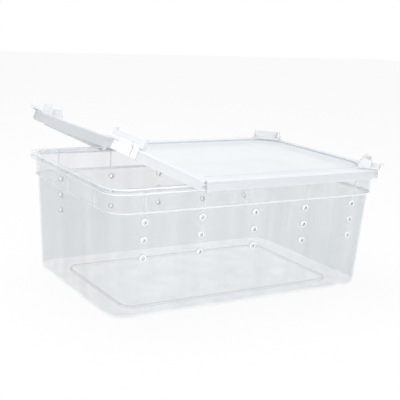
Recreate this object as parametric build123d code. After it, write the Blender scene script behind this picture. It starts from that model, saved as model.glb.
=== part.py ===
from build123d import *
import math
import os

# A clear plastic travel box for small reptiles: a tapered tub with vent holes, a lid
# that lies over its rim, a lid flap on a moulded hinge, and four swinging clips.
# Millimetres. The origin is the middle of the tub's underside, X runs along the box,
# the front long wall looks to -Y and the flap is at the -X end.

# Tub
base_length = 345.4
base_width = 221.0
shoulder_height = 116.6
shoulder_length = 355.2
shoulder_width = 230.5
shoulder_rise = 2.2
band_length = 359.8
band_width = 235.1
rim_height = 145.4
rim_length = 370.0
rim_width = 245.3
rim_thickness = 1.8
lip_bottom = 138.6
lip_thickness = 1.5
corner_radius = 24.0
wall = 1.6
floor_thickness = 1.8
base_edge_radius = 3.0
floor_panel_inset = 29.0
floor_panel_rise = 1.2
floor_panel_radius = 14.0

# Vent holes in both long walls
vent_columns = 5
vent_rows = 3
vent_pitch_x = 70.4
vent_pitch_z = 19.8
vent_top_z = 107.2
vent_radius = 2.4
vent_ring_radius = 3.7
vent_ring_height = 0.6

# Stiffening ribs under the rim, as places along the long walls and the short walls
rib_thickness = 1.4
rib_depth = 1.5
long_wall_ribs = (-142.0, -70.0, -17.0, 70.0, 142.0)
short_wall_ribs = (-75.0, 0.0, 75.0)

# Lid
lid_length = 375.6
lid_width = 250.8
lid_top = 150.0
lid_plate = 1.8
lid_corner_radius = 26.0
lid_edge_radius = 1.6
skirt_bottom = 137.5
skirt_thickness = 1.6
lid_seat_height = 145.7
seat_rib_inset = 3.4
seat_rib_thickness = 1.6
seat_rib_end = 3.0
lid_border = 14.0
lid_side_border = 19.0
panel_drop = 1.2
panel_radius = 14.0
panel_outer_radius = 40.0
panel_outer_margin = 80.0
panel_wall = 1.6
gate_mark_radius = 4.5
gate_mark_height = 0.4
grip_length = 34.0
grip_thickness = 0.7

# Flap and its moulded hinge
hinge_x = -75.0
hinge_z = 149.7
hinge_half_gap = 1.2
hinge_border = 9.0
film_radius = 0.6
film_web_thickness = 0.5
film_play = 0.1
film_end_margin = 1.0
flap_angle = 24.5

# Clips. Each sits diagonally on a rounded corner of the lid, turns on a pin there and is
# drawn folded back open. A clip is made in its own frame: the origin is the centre of the
# corner's rounding, X runs along the clip and the way out of the corner is -Y.
# Places down a clip are distances from its pin, when it hangs down closed.
clip_turn = 45.0
clip_length = 36.0
clip_axis_out = 27.0
clip_axis_z = 151.2
pin_radius = 1.0
pin_play = 0.06
pin_end_margin = 0.6
barrel_radius = 2.0
clip_root = 3.0
clip_reach = 27.5
clip_outer = 0.9
clip_inner = 0.5
hook_high = 13.0
hook_low = 14.4
hook_reach = 8.8
clip_end_wall = 1.6
end_wall_depth = 11.8
end_wall_knee = 22.0
end_wall_tip = 3.4
clip_open_angle = 270.0
barrel_spans = ((-11.8, -10.2), (4.4, 17.6))
ear_spans = ((-17.6, -12.2), (-9.8, 4.0))
ear_inner = 18.0
ear_outer = 26.0
ear_low = 139.2
ear_neck_inner = 24.9
ear_neck_outer = 28.2
ear_neck_low = 149.4
ear_rim_gap = 0.5
notch_inner = 17.5
notch_gap = 0.6

# Working margins: how far a cutter runs past what it cuts, how deep a joined piece
# reaches into the other, and how near two heights are when they are the same
overcut = 2.0
overlap = 1.0
same_height = 0.01

parts = {}


def rounded(length, width, radius, z):
    """A rounded rectangle lying flat at a height."""
    return Plane.XY.offset(z) * RectangleRounded(length, width, radius)


def tapered(*sections):
    """A straight-sided solid through flat rounded rectangles, lowest first."""
    return Solid.make_loft([s.face().outer_wire() for s in sections], ruled=True)


def slab(length, width, radius, low, high):
    """An upright rounded block between two heights."""
    return extrude(rounded(length, width, radius, low), amount=high - low)


def block(low, high):
    """A box between two opposite corners."""
    size = [high[i] - low[i] for i in range(3)]
    middle = [(high[i] + low[i]) / 2 for i in range(3)]
    return Location(middle) * Box(*size)


def wall_half_width(z):
    """Outer half width of the tub's lower wall at a height."""
    return base_width / 2 + (shoulder_width - base_width) / 2 * z / shoulder_height


def vent_places():
    """Middle of each vent hole along X and Z."""
    first = -(vent_columns - 1) / 2 * vent_pitch_x
    columns = [first + i * vent_pitch_x for i in range(vent_columns)]
    rows = [vent_top_z - j * vent_pitch_z for j in range(vent_rows)]
    return [(x, z) for x in columns for z in rows]


def make_tub():
    band_low = shoulder_height + shoulder_rise
    lower = tapered(
        rounded(base_length, base_width, corner_radius, 0),
        rounded(shoulder_length, shoulder_width, corner_radius, shoulder_height),
    )
    low_edges = [e for e in lower.edges() if abs(e.center().Z) < same_height]
    lower = lower.fillet(base_edge_radius, low_edges)
    shoulder = tapered(
        rounded(shoulder_length, shoulder_width, corner_radius, shoulder_height),
        rounded(band_length, band_width, corner_radius, band_low),
    )
    band = slab(band_length, band_width, corner_radius, band_low, rim_height)
    lip = slab(rim_length, rim_width, corner_radius, lip_bottom, rim_height)
    tub = Part() + lower + shoulder + band

    under_lip = slab(
        rim_length - 2 * lip_thickness,
        rim_width - 2 * lip_thickness,
        corner_radius - lip_thickness,
        lip_bottom - overcut,
        rim_height - rim_thickness,
    )
    tub = tub + (lip - under_lip)

    for y_side in (-1, 1):
        for x in long_wall_ribs:
            low = (x - rib_thickness / 2, band_width / 2 - overlap, band_low)
            high = (x + rib_thickness / 2, band_width / 2 + rib_depth, rim_height - overlap)
            rib = block(low, high)
            tub = tub + (rib if y_side > 0 else mirror(rib, about=Plane.XZ))
    for x_side in (-1, 1):
        for y in short_wall_ribs:
            low = (band_length / 2 - overlap, y - rib_thickness / 2, band_low)
            high = (band_length / 2 + rib_depth, y + rib_thickness / 2, rim_height - overlap)
            rib = block(low, high)
            tub = tub + (rib if x_side > 0 else mirror(rib, about=Plane.YZ))

    for x, z in vent_places():
        for y_side in (-1, 1):
            face = wall_half_width(z)
            ring = Cylinder(vent_ring_radius, wall + vent_ring_height, rotation=(90, 0, 0))
            middle = face + vent_ring_height - (wall + vent_ring_height) / 2
            tub = tub + Location((x, y_side * middle, z)) * ring

    inside = corner_radius - wall
    lower_cavity = tapered(
        rounded(base_length - 2 * wall, base_width - 2 * wall, inside, floor_thickness),
        rounded(shoulder_length - 2 * wall, shoulder_width - 2 * wall, inside, shoulder_height),
    )
    floor_top = floor_thickness + same_height
    floor_edges = [e for e in lower_cavity.edges() if e.center().Z < floor_top]
    lower_cavity = lower_cavity.fillet(base_edge_radius - wall, floor_edges)
    shoulder_cavity = tapered(
        rounded(shoulder_length - 2 * wall, shoulder_width - 2 * wall, inside, shoulder_height),
        rounded(band_length - 2 * wall, band_width - 2 * wall, inside, band_low),
    )
    cavity_top = rim_height + overcut
    band_cavity = slab(
        band_length - 2 * wall, band_width - 2 * wall, inside, band_low, cavity_top
    )
    tub = tub - lower_cavity - shoulder_cavity - band_cavity

    panel = slab(
        base_length - 2 * floor_panel_inset,
        base_width - 2 * floor_panel_inset,
        floor_panel_radius,
        floor_thickness / 2,
        floor_thickness + floor_panel_rise,
    )
    tub = tub + panel

    for x, z in vent_places():
        bore = Cylinder(vent_radius, rim_width + 2 * overcut, rotation=(90, 0, 0))
        tub = tub - Location((x, 0, z)) * bore
    return tub


def panel_block(low_x, high_x, outward, grow, low, high):
    """The panel's outline as a block, with larger roundings at the lid's outer corners."""
    length = high_x - low_x + 2 * grow
    width = lid_width - 2 * lid_side_border + 2 * grow
    middle = (low_x + high_x) / 2
    near = Location((middle, 0, 0)) * slab(length, width, panel_radius + grow, low, high)
    far_middle = middle - outward * panel_outer_margin / 2
    far = Location((far_middle, 0, 0)) * slab(
        length + panel_outer_margin, width, panel_outer_radius + grow, low, high
    )
    return near & far


def lid_half(x_low, x_high, panel_low, panel_high, outward):
    """One half of the lid, from x_low to x_high, with a sunk panel between its border."""
    top = slab(lid_length, lid_width, lid_corner_radius, skirt_bottom, lid_top)
    top_edges = [e for e in top.edges() if abs(e.center().Z - lid_top) < same_height]
    top = fillet(top_edges, lid_edge_radius)
    hollow = slab(
        lid_length - 2 * skirt_thickness,
        lid_width - 2 * skirt_thickness,
        lid_corner_radius - skirt_thickness,
        skirt_bottom - overcut,
        lid_top - lid_plate,
    )
    lid = top - hollow

    plate_low = lid_top - panel_drop - lid_plate
    tray = panel_block(
        panel_low, panel_high, outward, panel_wall, plate_low, lid_top - lid_plate / 2
    )
    sunk = panel_block(
        panel_low, panel_high, outward, 0, lid_top - panel_drop, lid_top + overcut
    )
    lid = (lid + tray) - sunk

    seat_outer = slab(
        rim_length - 2 * seat_rib_inset,
        rim_width - 2 * seat_rib_inset,
        corner_radius - seat_rib_inset,
        lid_seat_height,
        lid_top - lid_plate / 2,
    )
    inset = seat_rib_inset + seat_rib_thickness
    seat_inner = slab(
        rim_length - 2 * inset,
        rim_width - 2 * inset,
        corner_radius - inset,
        lid_seat_height - overcut,
        lid_top,
    )
    seat = seat_outer - seat_inner
    seat_side = block(
        (x_low + seat_rib_end, -rim_width, lid_seat_height - overcut),
        (x_high - seat_rib_end, rim_width, lid_top),
    )
    lid = lid + (seat & seat_side)

    keep = block(
        (x_low, -lid_width, skirt_bottom - overcut), (x_high, lid_width, lid_top + overcut)
    )
    return lid & keep


def bar(radius, low, high):
    """A round bar on a clip's pin line, in the clip's own frame."""
    rod = Cylinder(radius, high - low, rotation=(0, 90, 0))
    return Location(((low + high) / 2, -clip_axis_out, clip_axis_z)) * rod


def to_corner(shape):
    """Moves a piece from a clip's own frame to the lid's front right corner."""
    centre_x = lid_length / 2 - lid_corner_radius
    centre_y = -lid_width / 2 + lid_corner_radius
    return Location((centre_x, centre_y, 0), (0, 0, clip_turn)) * shape


def clip_ears():
    """The ears on the lid's front right corner that carry a clip's pin."""
    ears = Part()
    for low, high in ear_spans:
        ears = ears + bar(barrel_radius, low, high)
        ears = ears + block((low, -ear_outer, ear_low), (high, -ear_inner, lid_top))
        neck_low = (low, -ear_neck_outer, ear_neck_low)
        ears = ears + block(neck_low, (high, -ear_neck_inner, clip_axis_z))
    rim_space = slab(
        rim_length + 2 * ear_rim_gap,
        rim_width + 2 * ear_rim_gap,
        corner_radius + ear_rim_gap,
        skirt_bottom - overcut,
        lid_seat_height,
    )
    return to_corner(ears) - rim_space


def clip_notch():
    """The shallow bite in the lid's front right skirt that a closed clip's hook passes."""
    half = clip_length / 2 + notch_gap
    outside = lid_corner_radius + overcut
    bite = block((-half, -outside, skirt_bottom - overcut), (half, -notch_inner, ear_low))
    return to_corner(bite)


def clip_bore():
    """The pin's hole through the ears at the front right."""
    half = clip_length / 2 + overcut
    return to_corner(bar(pin_radius, -half, half))


def placed(shape, back, left):
    """Moves a front right piece to another corner, mirrored except to the corner across."""
    if back and left:
        return shape.rotate(Axis.Z, 180)
    if back:
        return mirror(shape, about=Plane.XZ)
    if left:
        return mirror(shape, about=Plane.YZ)
    return shape


def clip_end(x_low):
    """The wall across one end of a closed clip, in the clip's own frame."""
    high_z = clip_axis_z - hook_high
    low_z = clip_axis_z - clip_reach
    face = -clip_axis_out - clip_outer
    outline = Plane.YZ.offset(x_low) * make_face(
        Polyline(
            (face, high_z),
            (-clip_axis_out + hook_reach, high_z),
            (-clip_axis_out + end_wall_depth, clip_axis_z - end_wall_knee),
            (-clip_axis_out + end_wall_tip, low_z),
            (face, low_z),
            close=True,
        )
    )
    return extrude(outline, amount=clip_end_wall)


def make_clip():
    """A clip hanging down closed, in its own frame, with its finger edge lowest."""
    half = clip_length / 2
    face = -clip_axis_out - clip_outer
    inner = -clip_axis_out + clip_inner
    plate_high = clip_axis_z - clip_root
    clip = block((-half, face, clip_axis_z - clip_reach), (half, inner, plate_high))
    clip = clip + block(
        (-half, face, clip_axis_z - hook_low),
        (half, -clip_axis_out + hook_reach, clip_axis_z - hook_high),
    )
    clip = clip + clip_end(-half) + clip_end(half - clip_end_wall)
    for low, high in barrel_spans:
        clip = clip + bar(barrel_radius, low, high)
        clip = clip + block((low, face, plate_high - overlap), (high, inner, clip_axis_z))
    return clip - bar(pin_radius + pin_play, -half - overcut, half + overcut)


def make_pin():
    """The clip's pin, in the clip's own frame."""
    half = clip_length / 2 - pin_end_margin
    return bar(pin_radius, -half, half)


def make_film():
    """The thin round neck that joins the lid's two halves, with its web to the lid."""
    half = lid_width / 2 - lid_edge_radius - film_end_margin
    neck = Cylinder(film_radius, 2 * half, rotation=(90, 0, 0))
    neck = Location((hinge_x, 0, hinge_z)) * neck
    web = block(
        (hinge_x, -half, hinge_z - film_web_thickness / 2),
        (hinge_x + hinge_half_gap, half, hinge_z + film_web_thickness / 2),
    )
    return neck + web


def flap_web():
    """The flap's side of the moulded hinge, which stops just short of the round neck."""
    half = lid_width / 2 - lid_edge_radius - film_end_margin
    return block(
        (hinge_x - hinge_half_gap - overlap, -half, hinge_z - film_web_thickness / 2),
        (hinge_x - film_radius - film_play, half, hinge_z + film_web_thickness / 2),
    )


def lift_flap(shape):
    """Turns a shape with the raised flap, up from the closed place."""
    axis = Axis((hinge_x, 0, hinge_z), (0, 1, 0))
    return shape.rotate(axis, flap_angle)


def fold_clip(shape):
    """Folds a clip from closed up and over to its open place, in its own frame."""
    axis = Axis((0, -clip_axis_out, clip_axis_z), (1, 0, 0))
    return shape.rotate(axis, -clip_open_angle)


main_low = hinge_x + hinge_half_gap
flap_high = hinge_x - hinge_half_gap
panel_end = lid_length / 2 - lid_border

lid_main = lid_half(main_low, lid_length, hinge_x + hinge_border, panel_end, 1)
gate_mark = Location((0, 0, lid_top - panel_drop + gate_mark_height / 2)) * Cylinder(
    gate_mark_radius, gate_mark_height
)
lid_main = lid_main + gate_mark
for y_side in (-1, 1):
    inner = y_side * (lid_width / 2 - overlap)
    outer = y_side * (lid_width / 2 + grip_thickness)
    grip = block(
        (main_low, min(inner, outer), skirt_bottom),
        (main_low + grip_length, max(inner, outer), lid_top - 2 * lid_edge_radius),
    )
    lid_main = lid_main + grip
lid_flap = lid_half(-lid_length, flap_high, -panel_end, hinge_x - hinge_border, -1)
lid_flap = lid_flap + flap_web()

for back in (False, True):
    lid_main = lid_main - placed(clip_notch(), back, False)
    lid_main = lid_main + placed(clip_ears(), back, False)
    lid_main = lid_main - placed(clip_bore(), back, False)
    lid_flap = lid_flap - placed(clip_notch(), back, True)
    lid_flap = lid_flap + placed(clip_ears(), back, True)
    lid_flap = lid_flap - placed(clip_bore(), back, True)

parts["tub"] = make_tub()
parts["lid_main"] = lid_main
parts["lid_flap"] = lift_flap(lid_flap)
parts["film_hinge"] = make_film()

for back, back_name in ((False, "front"), (True, "back")):
    for left, left_name in ((False, "right"), (True, "left")):
        clip = placed(to_corner(fold_clip(make_clip())), back, left)
        pin = placed(to_corner(make_pin()), back, left)
        if left:
            clip = lift_flap(clip)
            pin = lift_flap(pin)
        parts[f"clip_{back_name}_{left_name}"] = clip
        parts[f"clip_pin_{back_name}_{left_name}"] = pin

os.makedirs("parts", exist_ok=True)
for name, shape in parts.items():
    export_step(shape, f"parts/{name}.step")
    box = shape.bounding_box()
    print(name, len(shape.solids()), "solid(s)", round(shape.volume), "mm3", box.min, box.max)

turn = math.radians(flap_angle)
diagonal = clip_axis_out * math.sqrt(0.5)
axis_x = lid_length / 2 - lid_corner_radius + diagonal
axis_y = lid_width / 2 - lid_corner_radius + diagonal
x = -axis_x - hinge_x
z = clip_axis_z - hinge_z
raised_x = hinge_x + x * math.cos(turn) + z * math.sin(turn)
raised_z = hinge_z - x * math.sin(turn) + z * math.cos(turn)
print("right clip axes through", round(axis_x, 3), round(axis_y, 3), clip_axis_z)
print("left clip axes through", round(raised_x, 3), round(axis_y, 3), round(raised_z, 3))
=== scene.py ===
# %% [markdown]
# A clear travel box for small reptiles
# The box is a see-through tub with a milky lid. One end of the lid is a flap, raised a
# little, and four white clips lie folded back at the corners. The solid model comes from
# the frame and stays where it is. Here it gets its finish, its light and its camera.

# %% Load the solid model and measure it
import bpy
import math
from mathutils import Matrix, Vector


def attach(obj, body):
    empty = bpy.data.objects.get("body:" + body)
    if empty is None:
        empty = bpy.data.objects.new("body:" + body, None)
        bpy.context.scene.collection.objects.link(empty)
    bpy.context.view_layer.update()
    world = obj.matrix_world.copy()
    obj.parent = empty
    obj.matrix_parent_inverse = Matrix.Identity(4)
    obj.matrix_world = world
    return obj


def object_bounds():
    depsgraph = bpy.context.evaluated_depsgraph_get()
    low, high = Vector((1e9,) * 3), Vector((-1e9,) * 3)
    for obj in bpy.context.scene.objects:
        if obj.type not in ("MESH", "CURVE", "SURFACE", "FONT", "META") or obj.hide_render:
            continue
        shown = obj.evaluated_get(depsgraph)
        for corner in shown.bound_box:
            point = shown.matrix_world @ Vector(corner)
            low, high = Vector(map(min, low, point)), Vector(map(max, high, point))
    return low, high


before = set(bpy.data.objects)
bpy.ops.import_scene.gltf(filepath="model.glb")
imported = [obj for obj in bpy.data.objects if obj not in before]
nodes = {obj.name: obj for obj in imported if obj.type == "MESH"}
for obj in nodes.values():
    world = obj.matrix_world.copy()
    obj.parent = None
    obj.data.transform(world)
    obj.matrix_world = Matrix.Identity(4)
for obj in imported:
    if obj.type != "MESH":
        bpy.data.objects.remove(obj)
cad_low, cad_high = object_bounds()
scene = bpy.context.scene
scene.view_settings.view_transform = "Standard"
MM = 0.001
print("the box measures", [round(v, 4) for v in cad_high - cad_low], "metres")

# %% [markdown]
# Light on a white background
# Clear plastic shows mostly what is behind it, so the background matters as much as the
# lamps. The world is white where the camera, a reflection or a see-through surface looks
# at it. As a light it is a soft grey, and dimmer from the left, on the flap's side. One
# could brighten the lamps until the background turns white, but the plastic would turn
# white with it, so the kind of ray chooses between the two instead.

# %% World
TENT_COLOUR = (0.955, 0.975, 1.0, 1.0)
LIGHT_LEFT, LIGHT_RIGHT = 0.6, 0.82
DIRECTION_LEFT = -1.0
PURE_WHITE, WHITE_SEEN = (1.0, 1.0, 1.0, 1.0), 1.0


def white_for_sight(tree):
    """A number that is 1 for camera, glossy and transmission rays and 0 for all others."""
    path = tree.nodes.new("ShaderNodeLightPath")
    seen = path.outputs["Is Camera Ray"]
    for name in ("Is Glossy Ray", "Is Transmission Ray"):
        larger = tree.nodes.new("ShaderNodeMath")
        larger.operation = "MAXIMUM"
        tree.links.new(seen, larger.inputs[0])
        tree.links.new(path.outputs[name], larger.inputs[1])
        seen = larger.outputs[0]
    return seen


world = bpy.data.worlds.new("light_tent")
scene.world = world
world.use_nodes = True
tree = world.node_tree
tent = tree.nodes["Background"]
tent.inputs["Color"].default_value = TENT_COLOUR
direction = tree.nodes.new("ShaderNodeTexCoord")
sideways = tree.nodes.new("ShaderNodeSeparateXYZ")
tree.links.new(direction.outputs["Generated"], sideways.inputs[0])
strength = tree.nodes.new("ShaderNodeMapRange")
tree.links.new(sideways.outputs["X"], strength.inputs["Value"])
strength.inputs["From Min"].default_value = DIRECTION_LEFT
strength.inputs["To Min"].default_value = LIGHT_LEFT
strength.inputs["To Max"].default_value = LIGHT_RIGHT
tree.links.new(strength.outputs[0], tent.inputs["Strength"])
white = tree.nodes.new("ShaderNodeBackground")
white.inputs["Color"].default_value = PURE_WHITE
white.inputs["Strength"].default_value = WHITE_SEEN
choose = tree.nodes.new("ShaderNodeMixShader")
tree.links.new(white_for_sight(tree), choose.inputs[0])
tree.links.new(tent.outputs[0], choose.inputs[1])
tree.links.new(white.outputs[0], choose.inputs[2])
tree.links.new(choose.outputs[0], tree.nodes["World Output"].inputs["Surface"])
print("world light from", LIGHT_LEFT, "at the left to", LIGHT_RIGHT, "at the right")

# %% [markdown]
# The floor is a plain matt sheet. Where one looks at it, most of what one sees is a white
# glow, so that it meets the white background. A small share stays matt and keeps a faint
# shadow. The glow shows to the eye and in reflections, and lights no matt surface.

# %% Floor
FLOOR_SIZE, FLOOR_GAP = 8.0, 0.2 * MM
FLOOR_COLOUR, FLOOR_ROUGHNESS = (0.92, 0.92, 0.92, 1.0), 0.9
FLOOR_GLOW_SHARE = 0.86


def deselect():
    """Leaves nothing selected, so that an operator acts on the new piece alone."""
    if bpy.context.object and bpy.context.object.mode != "OBJECT":
        bpy.ops.object.mode_set(mode="OBJECT")
    bpy.ops.object.select_all(action="DESELECT")


deselect()
bpy.ops.mesh.primitive_plane_add(size=FLOOR_SIZE, location=(0, 0, cad_low.z - FLOOR_GAP))
floor = bpy.context.object
floor.name = "floor"
floor_paint = bpy.data.materials.new("white_floor")
floor_paint.use_nodes = True
tree = floor_paint.node_tree
matt = tree.nodes["Principled BSDF"]
matt.inputs["Base Color"].default_value = FLOOR_COLOUR
matt.inputs["Roughness"].default_value = FLOOR_ROUGHNESS
glow = tree.nodes.new("ShaderNodeEmission")
share = tree.nodes.new("ShaderNodeMath")
share.operation = "MULTIPLY"
share.inputs[1].default_value = FLOOR_GLOW_SHARE
tree.links.new(white_for_sight(tree), share.inputs[0])
blend = tree.nodes.new("ShaderNodeMixShader")
tree.links.new(share.outputs[0], blend.inputs[0])
tree.links.new(matt.outputs[0], blend.inputs[1])
tree.links.new(glow.outputs[0], blend.inputs[2])
tree.links.new(blend.outputs[0], tree.nodes["Material Output"].inputs["Surface"])
floor.data.materials.append(floor_paint)
print("floor at", round(floor.location.z, 5))

# %% [markdown]
# Two soft lamps
# A large square lamp gives a shadow a soft edge. One hangs above and behind the box and
# makes the top surfaces lighter than the walls. The other stands in front and lights the
# skirt of the lid and the clips. Each row below gives a place, a size and a power.

# %% Lamps
LAMPS = {
    "top_softbox": ((-0.15, 0.35, 1.3), 1.2, 6.5),
    "front_softbox": ((-0.5, -1.65, 0.6), 1.0, 12.5),
}
LIT_POINT = Vector((0, 0, 0.08))

for name, (place, size, watts) in LAMPS.items():
    lamp_data = bpy.data.lights.new(name, "AREA")
    lamp_data.size = size
    lamp_data.energy = watts
    lamp = bpy.data.objects.new(name, lamp_data)
    lamp.location = place
    aim = LIT_POINT - Vector(place)
    lamp.rotation_mode = "QUATERNION"
    lamp.rotation_quaternion = aim.to_track_quat("-Z", "Y")
    scene.collection.objects.link(lamp)
print("lamps:", ", ".join(LAMPS))

# %% [markdown]
# The camera
# The view looks from the front left, a little from above, with a slight tilt to one side.
# A long lens far away keeps the walls nearly parallel. The picture's middle lies a little
# above the lens axis, which is what the small shift says.

# %% Camera
EYE = Vector((-0.5501, -0.8793, 0.3315))
AZIMUTH, ELEVATION, TILT = math.radians(-32.03), math.radians(14.33), math.radians(3.32)
SENSOR_WIDTH, LENS = 36.0, 77.2
SHIFT_X, SHIFT_Y = -0.0024, 0.0567
NEAREST_SEEN = 0.01

camera_data = bpy.data.cameras.new("camera")
camera_data.sensor_width = SENSOR_WIDTH
camera_data.lens = LENS
camera_data.shift_x = SHIFT_X
camera_data.shift_y = SHIFT_Y
camera_data.clip_start = NEAREST_SEEN
camera = bpy.data.objects.new("camera", camera_data)
scene.collection.objects.link(camera)
back = Vector(
    (
        math.sin(AZIMUTH) * math.cos(ELEVATION),
        -math.cos(AZIMUTH) * math.cos(ELEVATION),
        math.sin(ELEVATION),
    )
)
camera.rotation_mode = "QUATERNION"
level = (-back).to_track_quat("-Z", "Y")
camera.rotation_quaternion = Matrix.Rotation(TILT, 3, back).to_quaternion() @ level
camera.location = EYE
scene.camera = camera
print("camera at", [round(v, 3) for v in EYE])

# %% [markdown]
# Rims round the vent holes
# Each hole in the long walls has a small raised rim. It is the whitest thing on the wall,
# because one looks along its surface, and its white is partly a painted highlight for the
# light its round edge catches. A torus would be quicker, but the rim looks like a short
# tube with a flat mouth. So a cylinder without ends gets a narrower mouth in edit mode, a
# wall by Solidify and round edges by Bevel. It is modelled once and copied.

# %% Helpers for modelling
def apply_modifiers(piece):
    """Makes a piece's modifiers part of its mesh."""
    bpy.context.view_layer.objects.active = piece
    for modifier in list(piece.modifiers):
        bpy.ops.object.modifier_apply(modifier=modifier.name)


def pick_vertices(piece, test):
    """Selects the vertices whose place passes a test, and enters edit mode."""
    bpy.ops.object.mode_set(mode="EDIT")
    bpy.ops.mesh.select_mode(type="VERT")
    bpy.ops.mesh.select_all(action="DESELECT")
    bpy.ops.object.mode_set(mode="OBJECT")
    for vertex in piece.data.vertices:
        vertex.select = test(vertex.co)
    bpy.ops.object.mode_set(mode="EDIT")


# %% Model one vent rim
RIM_OUTER, RIM_BORE = 4.2 * MM, 2.3 * MM
RIM_PROUD, WALL = 0.75 * MM, 1.6 * MM
RIM_SIDES, MOUTH_SHARE = 32, 0.9
RIM_ROUNDING, ROUNDING_STEPS = 0.35 * MM, 3
SMOOTH_ANGLE = math.radians(40)

deselect()
bpy.ops.mesh.primitive_cylinder_add(
    vertices=RIM_SIDES,
    radius=RIM_OUTER,
    depth=WALL + 2 * RIM_PROUD,
    end_fill_type="NOTHING",
    location=(0, 0, 0),
    rotation=(math.pi / 2, 0, 0),
)
first_rim = bpy.context.object
bpy.ops.object.transform_apply(location=True, rotation=True, scale=True)
pick_vertices(first_rim, lambda place: place.y < 0)
bpy.ops.transform.resize(value=(MOUTH_SHARE, 1, MOUTH_SHARE))
bpy.ops.object.mode_set(mode="OBJECT")
thicken = first_rim.modifiers.new("tube_wall", "SOLIDIFY")
thicken.thickness = RIM_OUTER - RIM_BORE
thicken.offset = -1
soften = first_rim.modifiers.new("round_edges", "BEVEL")
soften.width = RIM_ROUNDING
soften.segments = ROUNDING_STEPS
soften.limit_method = "ANGLE"
apply_modifiers(first_rim)
bpy.ops.object.shade_smooth_by_angle(angle=SMOOTH_ANGLE)
print("one vent rim has", len(first_rim.data.polygons), "faces")

# %% [markdown]
# The holes stand in columns of three along both long walls. The walls lean outwards, so a
# rim is turned by the lean and set at the wall's own half width for its height. Each copy
# then has its place applied to its own mesh, so that its object stays at the origin.

# %% Copy the rim to every vent hole
VENT_COLUMNS, VENT_ROWS = 5, 3
VENT_PITCH_X, VENT_PITCH_Z = 70.4 * MM, 19.8 * MM
VENT_TOP = 107.2 * MM
BASE_HALF_WIDTH, SHOULDER_HALF_WIDTH = 110.5 * MM, 115.25 * MM
SHOULDER_HEIGHT = 116.6 * MM
wall_slope = (SHOULDER_HALF_WIDTH - BASE_HALF_WIDTH) / SHOULDER_HEIGHT

vent_rims = []
for side in (-1, 1):
    for column in range(VENT_COLUMNS):
        for row in range(VENT_ROWS):
            x = (column - (VENT_COLUMNS - 1) / 2) * VENT_PITCH_X
            z = VENT_TOP - row * VENT_PITCH_Z
            middle = BASE_HALF_WIDTH + wall_slope * z - WALL / 2
            deselect()
            first_rim.select_set(True)
            bpy.context.view_layer.objects.active = first_rim
            bpy.ops.object.duplicate(linked=False)
            rim = bpy.context.object
            rim.name = f"vent_rim_{len(vent_rims) + 1}"
            rim.location = (x, side * middle, z)
            rim.rotation_euler = (math.atan(wall_slope), 0, 0 if side < 0 else math.pi)
            bpy.ops.object.transform_apply(location=True, rotation=True, scale=True)
            vent_rims.append(rim)
bpy.data.objects.remove(first_rim)
print("vent rims:", len(vent_rims))

# %% [markdown]
# Ribs under the rim
# Short upright ribs stiffen the band under the rim. A moulded rib has round edges that
# catch the light as a pale line, so each is a box with a wide bevel, a hair larger than
# the plain rib of the solid model that it covers.

# %% Model the ribs along the band
BAND_HALF_LENGTH, BAND_HALF_WIDTH = 179.9 * MM, 117.55 * MM
BAND_LOW, BAND_HIGH = 118.9 * MM, 144.3 * MM
RIB_WIDTH, RIB_DEPTH = 1.7 * MM, 1.6 * MM
RIB_ROUNDING, RIB_SINK = 0.5 * MM, 0.4 * MM
RIBS_LONG = tuple(x * MM for x in (-142.0, -70.0, -17.0, 70.0, 142.0))
RIBS_SHORT = tuple(y * MM for y in (-75.0, 0.0, 75.0))


def make_rib(name, x, y, turned):
    """One rounded rib at a place on the band; turned ones stand on the short walls."""
    depth = RIB_DEPTH + RIB_SINK
    size = (depth, RIB_WIDTH) if turned else (RIB_WIDTH, depth)
    deselect()
    bpy.ops.mesh.primitive_cube_add(size=1, location=(x, y, (BAND_LOW + BAND_HIGH) / 2))
    rib = bpy.context.object
    rib.name = name
    rib.scale = (*size, BAND_HIGH - BAND_LOW)
    bpy.ops.object.transform_apply(location=True, rotation=True, scale=True)
    bpy.ops.object.mode_set(mode="EDIT")
    bpy.ops.mesh.select_all(action="SELECT")
    bpy.ops.mesh.bevel(offset=RIB_ROUNDING, segments=ROUNDING_STEPS, affect="EDGES")
    bpy.ops.object.mode_set(mode="OBJECT")
    bpy.ops.object.shade_smooth_by_angle(angle=SMOOTH_ANGLE)
    return rib


reach = (RIB_DEPTH - RIB_SINK) / 2
ribs = []
for side in (-1, 1):
    for x in RIBS_LONG:
        y = side * (BAND_HALF_WIDTH + reach)
        ribs.append(make_rib(f"rib_{len(ribs) + 1}", x, y, False))
    for y in RIBS_SHORT:
        x = side * (BAND_HALF_LENGTH + reach)
        ribs.append(make_rib(f"rib_{len(ribs) + 1}", x, y, True))
print("ribs:", len(ribs))

# %% [markdown]
# Clear and milky plastic
# Clear polypropylene lets most light through and scatters some of it, so a wall looks
# like a thin grey veil. True glass with refraction would bend the background into dark
# edges that the real thin walls don't have, so the share that scatters is the Alpha of
# the plastic shader instead. A ray passes many such faces, so many are allowed.

# %% A finish and its sums
FACES_SEEN_THROUGH = 48
PLASTIC_IOR = 1.49
scene.cycles.transparent_max_bounces = FACES_SEEN_THROUGH


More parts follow.
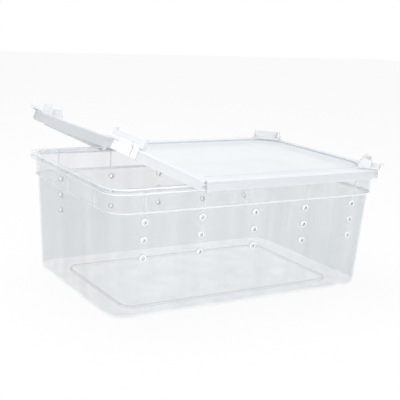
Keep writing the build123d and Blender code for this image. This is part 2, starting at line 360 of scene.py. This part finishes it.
class Finish:
    """A plastic material that is built up from small named steps."""

    def __init__(self, name, roughness):
        self.material = bpy.data.materials.new(name)
        self.material.use_nodes = True
        self.tree = self.material.node_tree
        self.shader = self.tree.nodes["Principled BSDF"]
        self.shader.inputs["Roughness"].default_value = roughness
        self.shader.inputs["IOR"].default_value = PLASTIC_IOR
        self.place = self.tree.nodes.new("ShaderNodeTexCoord").outputs["Object"]
        self.measure()

    def measure(self):
        """Reads how far along, across and up a point lies."""
        split = self.tree.nodes.new("ShaderNodeSeparateXYZ")
        self.tree.links.new(self.place, split.inputs[0])
        self.along, self.across, self.height = split.outputs

    def math(self, operation, a, b=0.0):
        """Joins two numbers, each a socket or a plain value."""
        node = self.tree.nodes.new("ShaderNodeMath")
        node.operation = operation
        for socket, value in zip(node.inputs, (a, b)):
            if isinstance(value, (int, float)):
                socket.default_value = value
            else:
                self.tree.links.new(value, socket)
        return node.outputs[0]

    def span(self, value, low, high, at_low, at_high):
        """Goes smoothly from one number to another between two values."""
        node = self.tree.nodes.new("ShaderNodeMapRange")
        node.interpolation_type = "SMOOTHSTEP"
        self.tree.links.new(value, node.inputs["Value"])
        node.inputs["From Min"].default_value = low
        node.inputs["From Max"].default_value = high
        node.inputs["To Min"].default_value = at_low
        node.inputs["To Max"].default_value = at_high
        return node.outputs[0]

    def alpha(self, value):
        """Sets how much of the light a point scatters, from 0 for clear to 1 for solid."""
        self.tree.links.new(value, self.shader.inputs["Alpha"])


print("a ray may pass", FACES_SEEN_THROUGH, "see-through faces")

# %% [markdown]
# Clouds, colours and grain
# Moulded plastic is never quite even: it has slow clouds and a fine grain, and the tub's
# walls get faint upright streaks, which are painted reflections of long lamps. All three
# are one noise pattern at different sizes. It can move the alpha, mix two colours, or tilt
# the surface a little, which is what a bump does.

# %% Helpers for patterns and paint
NOISE_MIDDLE = 0.5
EVEN = (1.0, 1.0, 1.0)


def noise(finish, size, stretch, detail):
    """A cloudy pattern whose clouds are about a size long, stretched along each axis."""
    turn = finish.tree.nodes.new("ShaderNodeMapping")
    turn.inputs["Scale"].default_value = stretch
    finish.tree.links.new(finish.place, turn.inputs["Vector"])
    cloud = finish.tree.nodes.new("ShaderNodeTexNoise")
    cloud.inputs["Scale"].default_value = 1 / size
    cloud.inputs["Detail"].default_value = detail
    finish.tree.links.new(turn.outputs[0], cloud.inputs["Vector"])
    return cloud.outputs["Fac"]


def sway(finish, size, stretch, detail, share):
    """A cloudy pattern round zero, whose swings are scaled by a share."""
    pattern = finish.math("SUBTRACT", noise(finish, size, stretch, detail), NOISE_MIDDLE)
    return finish.math("MULTIPLY", pattern, share)


def paint(finish, share, over, under=None):
    """Paints a colour by a share over another one, or over what is painted so far."""
    mix = finish.tree.nodes.new("ShaderNodeMix")
    mix.data_type = "RGBA"
    finish.tree.links.new(share, mix.inputs["Factor"])
    if under is None:
        finish.tree.links.new(finish.painted, mix.inputs["A"])
    else:
        mix.inputs["A"].default_value = (*under, 1.0)
    mix.inputs["B"].default_value = (*over, 1.0)
    finish.painted = mix.outputs["Result"]
    finish.tree.links.new(finish.painted, finish.shader.inputs["Base Color"])


def bump(finish, value, height):
    """Raises the surface by a pattern."""
    node = finish.tree.nodes.new("ShaderNodeBump")
    node.inputs["Distance"].default_value = height
    finish.tree.links.new(value, node.inputs["Height"])
    finish.tree.links.new(node.outputs[0], finish.shader.inputs["Normal"])


print("four helpers: noise, sway, paint and bump")

# %% [markdown]
# Masks for bands and lines
# Where the tub's wall folds, one looks through more plastic, and it turns whiter. The
# white there is also a painted highlight, for the light that these bends catch. These
# places are bands of height, and the edge of a sunk or raised panel is a rounded
# rectangle. Both could be painted on an unwrapped image. As sums of a point's own place
# they stay sharp at any distance and need no image.

# %% Helpers for masks
def band(finish, middle, half, soft):
    """1 within a band of height and 0 outside, with a soft edge."""
    away = finish.math("ABSOLUTE", finish.math("SUBTRACT", finish.height, middle))
    return finish.span(away, half, half + soft, 1.0, 0.0)


def outline(finish, half_along, half_across, radius, width):
    """1 on the outline of a rounded rectangle seen from above, and 0 off it."""
    away = []
    for place, half in ((finish.along, half_along), (finish.across, half_across)):
        beyond = finish.math("SUBTRACT", finish.math("ABSOLUTE", place), half - radius)
        away.append(finish.math("POWER", finish.math("MAXIMUM", beyond, 0.0), 2.0))
    distance = finish.math("SQRT", finish.math("ADD", *away))
    off = finish.math("ABSOLUTE", finish.math("SUBTRACT", distance, radius))
    return finish.span(off, width / 2, width, 1.0, 0.0)


print("two masks: a band of height, and an outline seen from above")

# %% [markdown]
# The tub's finish has three heights: a thin clear floor with the line of its raised
# panel, the walls with faint upright streaks that are painted reflections of long lamps,
# and the whiter shoulder, lip and rim, whose white is partly a painted highlight. The band
# above the shoulder looks a little clearer than the wall below it.

# %% Clear tub
TUB_ROUGHNESS = 0.2
FLOOR_TOP, RIM_TOP = 3.6 * MM, 145.4 * MM
SHOULDER_MIDDLE, SHOULDER_HALF, SHOULDER_SOFT = 117.7 * MM, 1.0 * MM, 0.5 * MM
LIP_MIDDLE, LIP_HALF, LIP_SOFT = 139.2 * MM, 0.4 * MM, 0.4 * MM
RIM_FADE_LOW, RIM_FADE_HIGH = RIM_TOP - 2.6 * MM, RIM_TOP - 0.6 * MM
WALL_ALPHA, FLOOR_ALPHA, BAND_THINNING = 0.18, 0.05, 0.065
SHOULDER_ALPHA, RIM_ALPHA, LIP_ALPHA = 0.8, 0.8, 0.6
STREAK_SIZE, STREAK_STRETCH, STREAK_DETAIL = 30.0 * MM, (1.0, 1.0, 0.08), 3.0
STREAK_SHARE = 0.2
PANEL_HALF, PANEL_RADIUS = (143.7 * MM, 81.5 * MM), 14.0 * MM
PANEL_LINE, PANEL_LINE_ALPHA = 1.2 * MM, 0.4
# The fold white is partly a painted highlight on the shoulder, lip and rim.
WALL_GREY, FOLD_HIGHLIGHT_WHITE = (0.54, 0.59, 0.62), (0.98, 0.99, 1.0)
WAVE_SIZE, WAVE_STRETCH, WAVE_DETAIL = 20.0 * MM, (1.0, 1.0, 0.4), 2.0
WAVE_HEIGHT = 0.1 * MM

tub = Finish("clear_tub", TUB_ROUGHNESS)
whiter_places = (
    (band(tub, SHOULDER_MIDDLE, SHOULDER_HALF, SHOULDER_SOFT), SHOULDER_ALPHA),
    (tub.span(tub.height, RIM_FADE_LOW, RIM_FADE_HIGH, 0.0, 1.0), RIM_ALPHA),
    (band(tub, LIP_MIDDLE, LIP_HALF, LIP_SOFT), LIP_ALPHA),
)
fold_highlight, white_veil = 0.0, 0.0
for share, alpha in whiter_places:
    fold_highlight = tub.math("MAXIMUM", fold_highlight, share)
    white_veil = tub.math("MAXIMUM", white_veil, tub.math("MULTIPLY", share, alpha))
# Faint upright streaks in the veil, lighter and darker, are painted reflections of long
# lamps.
painted_reflection_streaks = sway(tub, STREAK_SIZE, STREAK_STRETCH, STREAK_DETAIL, STREAK_SHARE)
veil = tub.span(tub.height, FLOOR_TOP, FLOOR_TOP + MM, FLOOR_ALPHA, WALL_ALPHA)
thin = tub.span(tub.height, BAND_LOW, BAND_LOW + MM, 0.0, BAND_THINNING)
veil = tub.math("SUBTRACT", tub.math("ADD", veil, painted_reflection_streaks), thin)
veil = tub.math("MAXIMUM", veil, white_veil)
on_floor = tub.span(tub.height, FLOOR_TOP, FLOOR_TOP + MM, 1.0, 0.0)
panel_edge = outline(tub, *PANEL_HALF, PANEL_RADIUS, PANEL_LINE)
panel_edge = tub.math("MULTIPLY", panel_edge, on_floor)
panel_veil = tub.math("MULTIPLY", panel_edge, PANEL_LINE_ALPHA)
tub.alpha(tub.math("MAXIMUM", veil, panel_veil))
# The shoulder, lip and rim are painted whiter: partly thicker plastic seen edge on, partly
# a painted highlight.
paint(tub, fold_highlight, FOLD_HIGHLIGHT_WHITE, under=WALL_GREY)
bump(tub, noise(tub, WAVE_SIZE, WAVE_STRETCH, WAVE_DETAIL), WAVE_HEIGHT)
print("clear tub: wall", WALL_ALPHA, "floor", FLOOR_ALPHA, "shoulder", SHOULDER_ALPHA)

# %% [markdown]
# The lid is milky. A fine satin grain comes from a small bump, and slow clouds change how
# much it lets through. The upright skirt is painted a little greyer than the top, as
# painted shade, since less light falls on it than on the top. A fine grey line of painted
# shade runs round the sunk panel, on its step, and the solid ears at the corners are
# whiter. An ear starts a set way outwards, along the diagonal, from the centre of the
# corner's rounding.
# There the distances along and across add up to EAR_START.
# The flap is the same moulding, only turned, so its finish first turns its places back.

# %% Milky lid
LID_ROUGHNESS, LID_ALPHA = 0.38, 0.6
CLOUD_SIZE, CLOUD_DETAIL, CLOUD_SHARE = 60.0 * MM, 3.0, 0.1
GRAIN_SIZE, GRAIN_DETAIL, GRAIN_HEIGHT = 1.2 * MM, 1.0, 0.03 * MM
# The skirt grey and the line grey are painted shade: on the upright skirt, and on the step
# round the sunk panel.
MILK, SKIRT_SHADE_GREY, STEP_SHADE_GREY = (0.95, 0.97, 0.99), (0.80, 0.82, 0.84), (0.62, 0.67, 0.73)
SKIRT_HIGH, SKIRT_FADE = 147.2 * MM, 1.0 * MM
LID_HALF_LENGTH, PANEL_HALF_WIDTH = 187.8 * MM, 106.4 * MM
LID_BORDER, PANEL_OUTER_RADIUS = 14.0 * MM, 40.0 * MM
HINGE_BORDER, LINE_WIDTH = 9.0 * MM, 1.5 * MM
CORNER_CENTRE_SUM, EAR_INNER = 261.2 * MM, 23.4 * MM
EAR_START = CORNER_CENTRE_SUM + EAR_INNER * math.sqrt(2)
EAR_WHITE, EAR_THICKER = (1.0, 1.0, 1.0), 0.3
HINGE = Vector((-75.0, 0.0, 149.7)) * MM
FLAP_TURN = math.radians(24.5)


def turn_place(finish, turn, pivot):
    """Measures places as they were before the piece was turned about a point."""
    back_turn = Matrix.Rotation(-turn, 3, "Y")
    node = finish.tree.nodes.new("ShaderNodeMapping")
    node.inputs["Rotation"].default_value = (0.0, -turn, 0.0)
    node.inputs["Location"].default_value = pivot - back_turn @ pivot
    finish.tree.links.new(finish.place, node.inputs["Vector"])
    finish.place = node.outputs[0]
    finish.measure()


def milky_lid(name, inner_end, turn):
    """A satin, cloudy plastic for one half of the lid, whose panel starts at inner_end."""
    lid = Finish(name, LID_ROUGHNESS)
    if turn:
        turn_place(lid, turn, HINGE)
    veil = sway(lid, CLOUD_SIZE, EVEN, CLOUD_DETAIL, CLOUD_SHARE)
    from_axes = (lid.math("ABSOLUTE", place) for place in (lid.along, lid.across))
    ears = lid.span(lid.math("ADD", *from_axes), EAR_START, EAR_START + MM, 0.0, 1.0)
    veil = lid.math("ADD", veil, lid.math("MULTIPLY", ears, EAR_THICKER))
    lid.alpha(lid.math("ADD", veil, LID_ALPHA))
    outward = 1 if inner_end > HINGE.x else -1
    half_along = LID_HALF_LENGTH - LID_BORDER
    line = outline(lid, half_along, PANEL_HALF_WIDTH, PANEL_OUTER_RADIUS, LINE_WIDTH)
    reach = lid.math("MULTIPLY", lid.along, outward)
    on_half = lid.math("GREATER_THAN", reach, outward * inner_end)
    above = lid.span(lid.height, SKIRT_HIGH, SKIRT_HIGH + SKIRT_FADE, 0.0, 1.0)
    line = lid.math("MULTIPLY", lid.math("MULTIPLY", line, on_half), above)
    # The skirt is painted greyer than the top, as painted shade.
    paint(lid, above, MILK, under=SKIRT_SHADE_GREY)
    # A grey line of painted shade runs round the sunk panel, on its step.
    paint(lid, line, STEP_SHADE_GREY)
    paint(lid, ears, EAR_WHITE)
    bump(lid, noise(lid, GRAIN_SIZE, EVEN, GRAIN_DETAIL), GRAIN_HEIGHT)
    return lid.material


main_milky = milky_lid("milky_lid", HINGE.x + HINGE_BORDER, 0.0)
flap_milky = milky_lid("milky_flap", HINGE.x - HINGE_BORDER, FLAP_TURN)
print("lid alpha", LID_ALPHA, "panel starts", round(HINGE_BORDER, 4), "m from the hinge")

# %% [markdown]
# White clips, pins, rims and ribs
# The small parts are whiter than the lid, because their plastic is thick for its size, or
# is seen edge on. The white of the vent rims and ribs is also partly a painted highlight,
# for the light their round edges catch. One recipe serves them all: two tones in slow
# clouds and a faint waviness. What differs is how solid each one looks. A pin is solid, a
# clip and a vent rim nearly so, and a rib is only a pale line in the clear wall, so its
# alpha is low. Each row below gives an alpha and the two tones. The bore of a rim has grey
# ones, for its shade.

# %% White plastic
WHITE_ROUGHNESS = 0.35
TONE_SIZE, TONE_DETAIL = 20.0 * MM, 3.0
SHEEN_SIZE, SHEEN_DETAIL, SHEEN_HEIGHT = 4.0 * MM, 2.0, 0.03 * MM
WHITES = {
    "milky_clip": (0.9, (0.89, 0.89, 0.90), (0.84, 0.85, 0.87)),
    "white_pin": (1.0, (0.95, 0.95, 0.97), (0.90, 0.90, 0.93)),
    # The white of a vent rim is partly a painted highlight.
    "vent_rim_highlight_white": (0.88, (1.0, 1.0, 1.0), (0.97, 0.98, 1.0)),
    "vent_bore_grey": (0.25, (0.74, 0.77, 0.80), (0.68, 0.71, 0.74)),
    # The white of a rib is partly a painted highlight on its round edges.
    "rib_highlight_white": (0.28, (1.0, 1.0, 1.0), (0.95, 0.97, 1.0)),
}


def white_plastic(name, alpha, first, second):
    """A plastic of one alpha, with slow clouds of a second tone over the first."""
    finish = Finish(name, WHITE_ROUGHNESS)
    paint(finish, noise(finish, TONE_SIZE, EVEN, TONE_DETAIL), second, under=first)
    bump(finish, noise(finish, SHEEN_SIZE, EVEN, SHEEN_DETAIL), SHEEN_HEIGHT)
    finish.shader.inputs["Alpha"].default_value = alpha
    return finish.material


whites = {name: white_plastic(name, *look) for name, look in WHITES.items()}
print("white plastics:", ", ".join(whites))

# %% [markdown]
# The solid nodes of the frame keep their shapes and only get a finish. A node's name says
# what it is, so the name chooses the finish.

# %% Finish the solid nodes
for name, node in nodes.items():
    if name == "tub":
        finish = tub.material
    elif name.startswith("clip_pin"):
        finish = whites["white_pin"]
    elif name.startswith("clip"):
        finish = whites["milky_clip"]
    elif name == "lid_flap":
        finish = flap_milky
    else:
        finish = main_milky
    node.data.materials.clear()
    node.data.materials.append(finish)
print("finished", len(nodes), "nodes")

# %% [markdown]
# The new pieces belong to the tub's moulding, so they ride on the tub and take its slot.
# The inside of a vent rim is in the shade, so its faces there are greyer.

# %% Finish the vent rims and ribs
BORE_MARGIN = 0.1 * MM

for rim in vent_rims:
    rim.data.materials.clear()
    rim.data.materials.append(whites["vent_rim_highlight_white"])
    rim.data.materials.append(whites["vent_bore_grey"])
    corners = [vertex.co for vertex in rim.data.vertices]
    middle_x = sum(c.x for c in corners) / len(corners)
    middle_z = sum(c.z for c in corners) / len(corners)
    for face in rim.data.polygons:
        from_axis = math.hypot(face.center.x - middle_x, face.center.z - middle_z)
        face.material_index = 1 if from_axis < RIM_BORE + BORE_MARGIN else 0
for rib in ribs:
    rib.data.materials.clear()
    rib.data.materials.append(whites["rib_highlight_white"])
for piece in vent_rims + ribs:
    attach(piece, "tub")
print("pieces on the tub:", len(vent_rims) + len(ribs))
